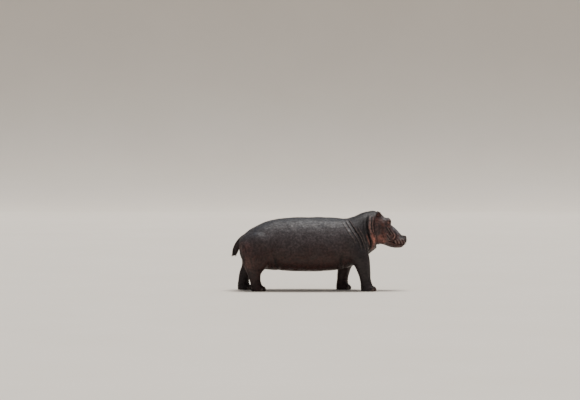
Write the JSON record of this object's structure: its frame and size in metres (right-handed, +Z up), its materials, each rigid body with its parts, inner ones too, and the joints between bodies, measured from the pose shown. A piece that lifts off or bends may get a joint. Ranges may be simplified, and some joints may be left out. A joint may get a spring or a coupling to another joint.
{
  "type": "hippopotamus",
  "caption": "Life-size still model of an adult hippopotamus in mid walk on all fours, with folds at the neck and throat, small ears and raised eyes.",
  "frame": {"origin": "on the floor, below the middle of the whole animal", "axes": "+X from the rump to the muzzle, +Y to the animal's left, +Z up"},
  "size_m": [3.318, 1.0098, 1.5144],
  "materials": {
    "skin": "damp, satin",
    "face_skin": "damp, satin",
    "eye": "wet gloss"
  },
  "bodies": {
    "root": {"head": "face_skin", "lower_jaw": "face_skin", "ear_left": "face_skin", "ear_right": "face_skin", "eye_left": "eye", "eye_right": "eye", "neck": "skin", "trunk": "skin", "tail": "skin", "shoulder_left": "skin", "forearm_left": "skin", "forefoot_left": "skin", "shoulder_right": "skin", "forearm_right": "skin", "forefoot_right": "skin", "thigh_left": "skin", "shank_left": "skin", "hindfoot_left": "skin", "thigh_right": "skin", "shank_right": "skin", "hindfoot_right": "skin"}
  },
  "joints": []
}
